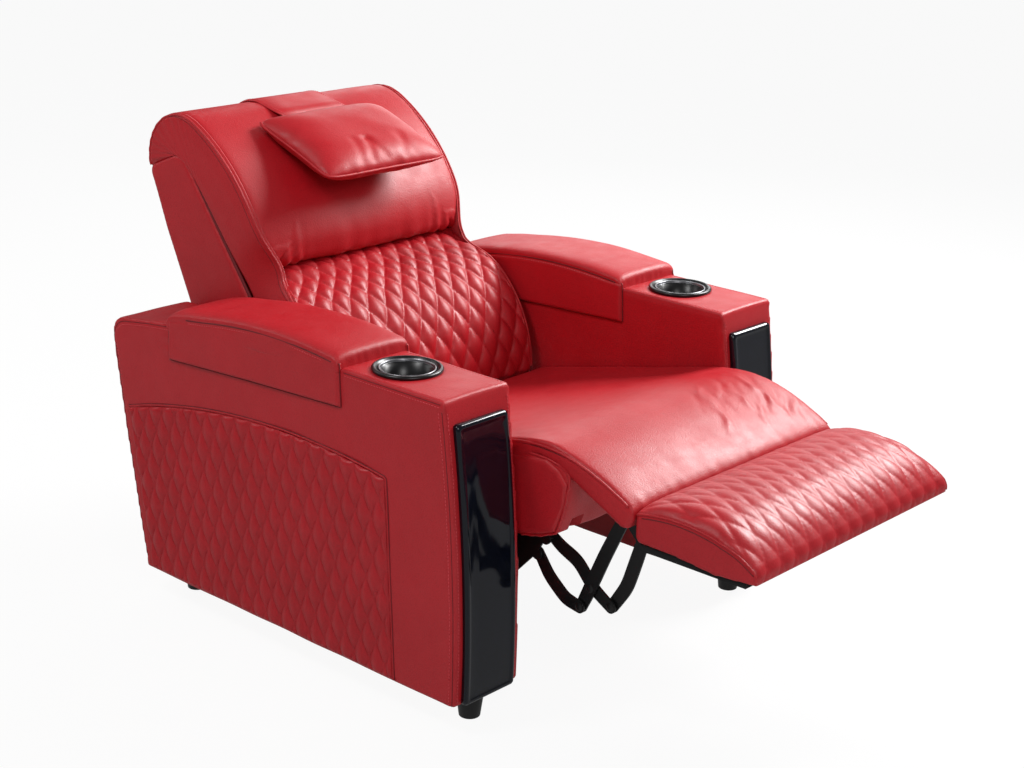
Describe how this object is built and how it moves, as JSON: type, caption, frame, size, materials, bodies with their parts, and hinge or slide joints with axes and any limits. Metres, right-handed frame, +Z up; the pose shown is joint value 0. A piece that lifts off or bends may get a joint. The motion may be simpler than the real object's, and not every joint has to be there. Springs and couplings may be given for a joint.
{
  "type": "cinema recliner seat",
  "caption": "Powered recliner armchair: two wide arms with cup holders carry a gliding seat with a fold-out footrest, a reclining back, a tilting head section and a strapped pillow.",
  "frame": {"origin": "on the floor, in the middle of the open chair's length and width", "axes": "+Z up, the sitter faces -Y, +X is the sitter's left"},
  "size_m": [0.94, 1.5238, 0.9248],
  "materials": {
    "red_leather": "semi-gloss, fine grain",
    "quilted_leather": "semi-gloss, diamond quilted",
    "black_lacquer": "high gloss",
    "chrome_trim": "satin chrome",
    "cup_black": "fine texture",
    "foot_black": "satin",
    "black_steel": "black powder coat",
    "plain_steel": "zinc plated",
    "plywood": "raw",
    "black_cloth": "woven lining",
    "roller_nylon": "moulded nylon",
    "actuator_plastic": "moulded",
    "key_plastic": "satin"
  },
  "bodies": {
    "base": {"arm_frame_left": "plywood", "arm_frame_right": "plywood", "arm_cover_left": "red_leather", "arm_cover_right": "red_leather", "arm_pad_left": "red_leather", "arm_pad_right": "red_leather", "arm_quilt_left": "quilted_leather", "arm_quilt_right": "quilted_leather", "front_plate_left": "black_lacquer", "front_plate_right": "black_lacquer", "cup_bowl_left": "cup_black", "cup_bowl_right": "cup_black", "cup_ring_left": "chrome_trim", "cup_ring_right": "chrome_trim", "feet": "foot_black", "foot_studs": "plain_steel", "glide_rails": "black_steel", "cross_tubes": "black_steel", "rear_apron": "black_cloth", "glide_actuator": "actuator_plastic", "control_box": "actuator_plastic", "power_inlet": "actuator_plastic", "switch_plate": "key_plastic"},
    "seat": {"seat_cushion": "red_leather", "seat_front_roll": "red_leather", "seat_side_rails": "plywood", "seat_cross_rails": "plywood", "seat_springs": "plain_steel", "seat_side_plates": "black_steel", "seat_cross_shaft": "plain_steel", "glide_rod": "plain_steel", "back_pins": "plain_steel", "back_actuator": "actuator_plastic"},
    "front_roller_pair": {"front_rollers": "roller_nylon"},
    "rear_roller_pair": {"rear_rollers": "roller_nylon"},
    "chaise": {"chaise_pad": "red_leather"},
    "footrest": {"footrest_pad": "quilted_leather", "footrest_board": "plywood", "footrest_brackets": "black_steel"},
    "lower_rear_link": {"lower_rear_links": "black_steel"},
    "upper_rear_link": {"upper_rear_links": "black_steel"},
    "lower_front_link": {"lower_front_links": "black_steel"},
    "upper_front_link": {"upper_front_links": "black_steel"},
    "back": {"back_cushion": "quilted_leather", "back_shell": "red_leather", "back_stiles": "plywood", "back_rails": "plywood", "back_brackets": "black_steel", "head_hinge_rod": "plain_steel", "back_hinge_plates": "black_steel"},
    "back_push_rod": {"back_rod": "plain_steel"},
    "headrest": {"head_cushion": "red_leather", "head_board": "plywood", "head_hinge_plates": "black_steel", "pillow_strap": "red_leather"},
    "pillow": {"head_pillow": "red_leather"},
    "footrest_out_key": {"button_footrest_out": "key_plastic"},
    "footrest_in_key": {"button_footrest_in": "key_plastic"},
    "back_down_key": {"button_back_down": "key_plastic"},
    "back_up_key": {"button_back_up": "key_plastic"}
  },
  "joints": [
    {"name": "seat_glide", "type": "slide", "parent": "base", "child": "seat", "axis": [0, 1, 0], "range_m": [0, 0.12]},
    {"name": "chaise_fold", "type": "hinge", "parent": "seat", "child": "chaise", "pos_m": [0, -0.3609, 0.453], "axis": [1, 0, 0], "range_deg": [0, 69.36]},
    {"name": "footrest_fold", "type": "hinge", "parent": "chaise", "child": "footrest", "pos_m": [0, -0.5169, 0.432], "axis": [1, 0, 0], "range_deg": [0, 8.16]},
    {"name": "lower_rear_link_swing", "type": "hinge", "parent": "seat", "child": "lower_rear_link", "pos_m": [0, -0.2841, 0.2821], "axis": [1, 0, 0], "range_deg": [0, 66.1]},
    {"name": "upper_rear_link_swing", "type": "hinge", "parent": "lower_rear_link", "child": "upper_rear_link", "pos_m": [0, -0.38, 0.2097], "axis": [1, 0, 0], "range_deg": [-63.65, 0]},
    {"name": "lower_front_link_swing", "type": "hinge", "parent": "seat", "child": "lower_front_link", "pos_m": [0, -0.3033, 0.316], "axis": [1, 0, 0], "range_deg": [0, 68.24]},
    {"name": "upper_front_link_swing", "type": "hinge", "parent": "lower_front_link", "child": "upper_front_link", "pos_m": [0, -0.4389, 0.225], "axis": [1, 0, 0], "range_deg": [-65.48, 0]},
    {"name": "front_rollers_turn", "type": "hinge", "parent": "seat", "child": "front_roller_pair", "pos_m": [0, -0.1839, 0.208], "axis": [1, 0, 0], "range_deg": [-480, 0]},
    {"name": "rear_rollers_turn", "type": "hinge", "parent": "seat", "child": "rear_roller_pair", "pos_m": [0, 0.1561, 0.208], "axis": [1, 0, 0], "range_deg": [-480, 0]},
    {"name": "back_recline", "type": "hinge", "parent": "seat", "child": "back", "pos_m": [0, 0.2561, 0.34], "axis": [1, 0, 0], "range_deg": [-14, 24]},
    {"name": "back_rod_slide", "type": "slide", "parent": "seat", "child": "back_push_rod", "axis": [0, 1, 0], "range_m": [-0.029, 0.049]},
    {"name": "headrest_tilt", "type": "hinge", "parent": "back", "child": "headrest", "pos_m": [0, 0.4461, 0.651], "axis": [1, 0, 0], "range_deg": [0, 18]},
    {"name": "pillow_flip", "type": "hinge", "parent": "headrest", "child": "pillow", "pos_m": [0, 0.5711, 0.905], "axis": [-1, 0, 0], "range_deg": [0, 100]},
    {"name": "footrest_out_press", "type": "slide", "parent": "base", "child": "footrest_out_key", "axis": [-1, 0, 0], "range_m": [0, 0.0015], "stiffness_N_per_m": 300, "springref_m": -0.001},
    {"name": "footrest_in_press", "type": "slide", "parent": "base", "child": "footrest_in_key", "axis": [-1, 0, 0], "range_m": [0, 0.0015], "stiffness_N_per_m": 300, "springref_m": -0.001},
    {"name": "back_down_press", "type": "slide", "parent": "base", "child": "back_down_key", "axis": [-1, 0, 0], "range_m": [0, 0.0015], "stiffness_N_per_m": 300, "springref_m": -0.001},
    {"name": "back_up_press", "type": "slide", "parent": "base", "child": "back_up_key", "axis": [-1, 0, 0], "range_m": [0, 0.0015], "stiffness_N_per_m": 300, "springref_m": -0.001}
  ],
  "couplings": [
    {"joint": "chaise_fold", "follows": "seat_glide", "rad_per_m": 9.8902},
    {"joint": "footrest_fold", "follows": "seat_glide", "rad_per_m": 1.1636},
    {"joint": "lower_rear_link_swing", "follows": "seat_glide", "rad_per_m": 9.4248},
    {"joint": "upper_rear_link_swing", "follows": "seat_glide", "rad_per_m": -9.0757},
    {"joint": "lower_front_link_swing", "follows": "seat_glide", "rad_per_m": 9.7302},
    {"joint": "upper_front_link_swing", "follows": "seat_glide", "rad_per_m": -9.3375},
    {"joint": "front_rollers_turn", "follows": "seat_glide", "rad_per_m": -68.493},
    {"joint": "rear_rollers_turn", "follows": "seat_glide", "rad_per_m": -68.493},
    {"joint": "back_rod_slide", "follows": "back_recline", "m_per_rad": 0.11525}
  ]
}
